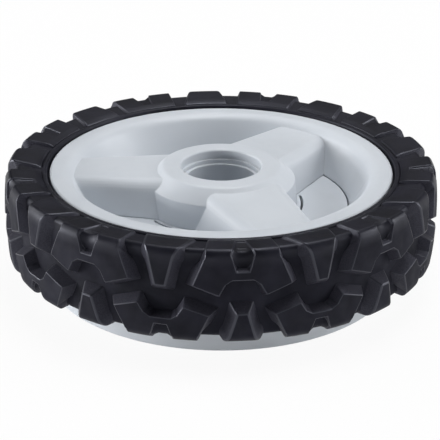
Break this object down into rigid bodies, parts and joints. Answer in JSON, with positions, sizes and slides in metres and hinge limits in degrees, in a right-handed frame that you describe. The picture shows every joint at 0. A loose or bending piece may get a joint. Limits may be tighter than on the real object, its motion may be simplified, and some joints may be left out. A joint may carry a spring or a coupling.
{
  "type": "wheel",
  "caption": "Lawn mower wheel with a lugged black tyre on a light grey moulded hub with hollow spokes and a stepped bore for bearings",
  "frame": {"origin": "on the axle line, in the plane of the rear ring's rim", "axes": "+Z along the axle line towards the outer face; +X through the middle of a window between two spokes"},
  "size_m": [0.2, 0.2, 0.0555],
  "materials": {
    "black_rubber": "semi-gloss, moulded",
    "grey_plastic": "satin, moulded",
    "plate_plastic": "satin, moulded"
  },
  "bodies": {
    "root": {"tyre": "black_rubber", "hub": "grey_plastic", "back_plate": "plate_plastic"}
  },
  "joints": []
}
